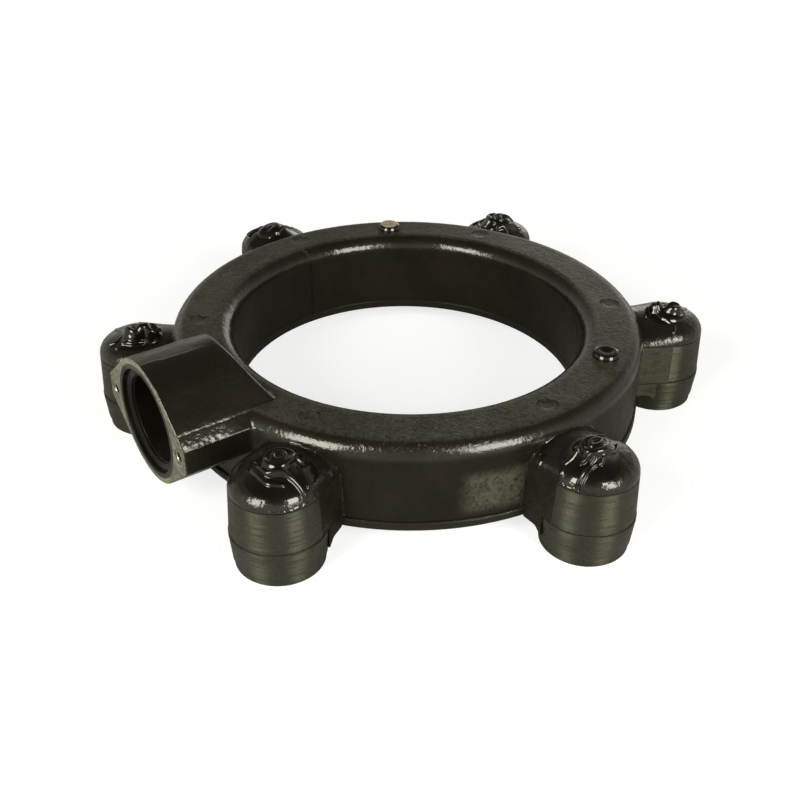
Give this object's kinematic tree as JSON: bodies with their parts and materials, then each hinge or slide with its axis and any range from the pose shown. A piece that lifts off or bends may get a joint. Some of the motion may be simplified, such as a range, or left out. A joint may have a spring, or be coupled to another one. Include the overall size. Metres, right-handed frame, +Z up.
{
  "type": "pipe manifold",
  "caption": "Ring-shaped cast pipe manifold with thick black coating, a two-bolt side inlet, and domed hoods over collared outlets that open downward.",
  "frame": {"origin": "on the ring's axis at the lower face of the base ring", "axes": "+Z up along the ring's axis, the inlet points along -Y, and outlets point down along -Z"},
  "size_m": [0.6082, 0.549, 0.144],
  "materials": {
    "shell_coating": "thick glossy black coating with orange-peel texture over cast iron",
    "base_coating": "thick glossy black coating over steel plate",
    "collar_coating": "thinner black coating with turning marks over cast iron",
    "plug_coating": "black coating over steel",
    "knot_coating": "glossy hardened runs of black coating",
    "boss_coating": "glossy black coating over steel",
    "seal_rubber": "matt black rubber",
    "mouth_rubber": "satin black rubber",
    "insert_steel": "worn bare metal",
    "plug_brass": "dull tarnished brass"
  },
  "bodies": {
    "root": {"manifold_shell": "shell_coating", "base_ring": "base_coating", "outlet_collar_1": "collar_coating", "outlet_collar_2": "collar_coating", "outlet_collar_3": "collar_coating", "outlet_collar_4": "collar_coating", "outlet_collar_5": "collar_coating", "outlet_collar_6": "collar_coating", "core_plug_1": "plug_coating", "core_plug_2": "plug_coating", "core_plug_3": "plug_coating", "core_plug_4": "plug_coating", "core_plug_5": "plug_coating", "core_plug_6": "plug_coating", "outlet_seals": "seal_rubber", "crown_knots": "knot_coating", "inlet_seal": "mouth_rubber", "inlet_insert_1": "insert_steel", "inlet_insert_2": "insert_steel", "test_boss_1": "boss_coating", "test_boss_2": "boss_coating", "test_plug_1": "plug_brass", "test_plug_2": "boss_coating"}
  },
  "joints": []
}
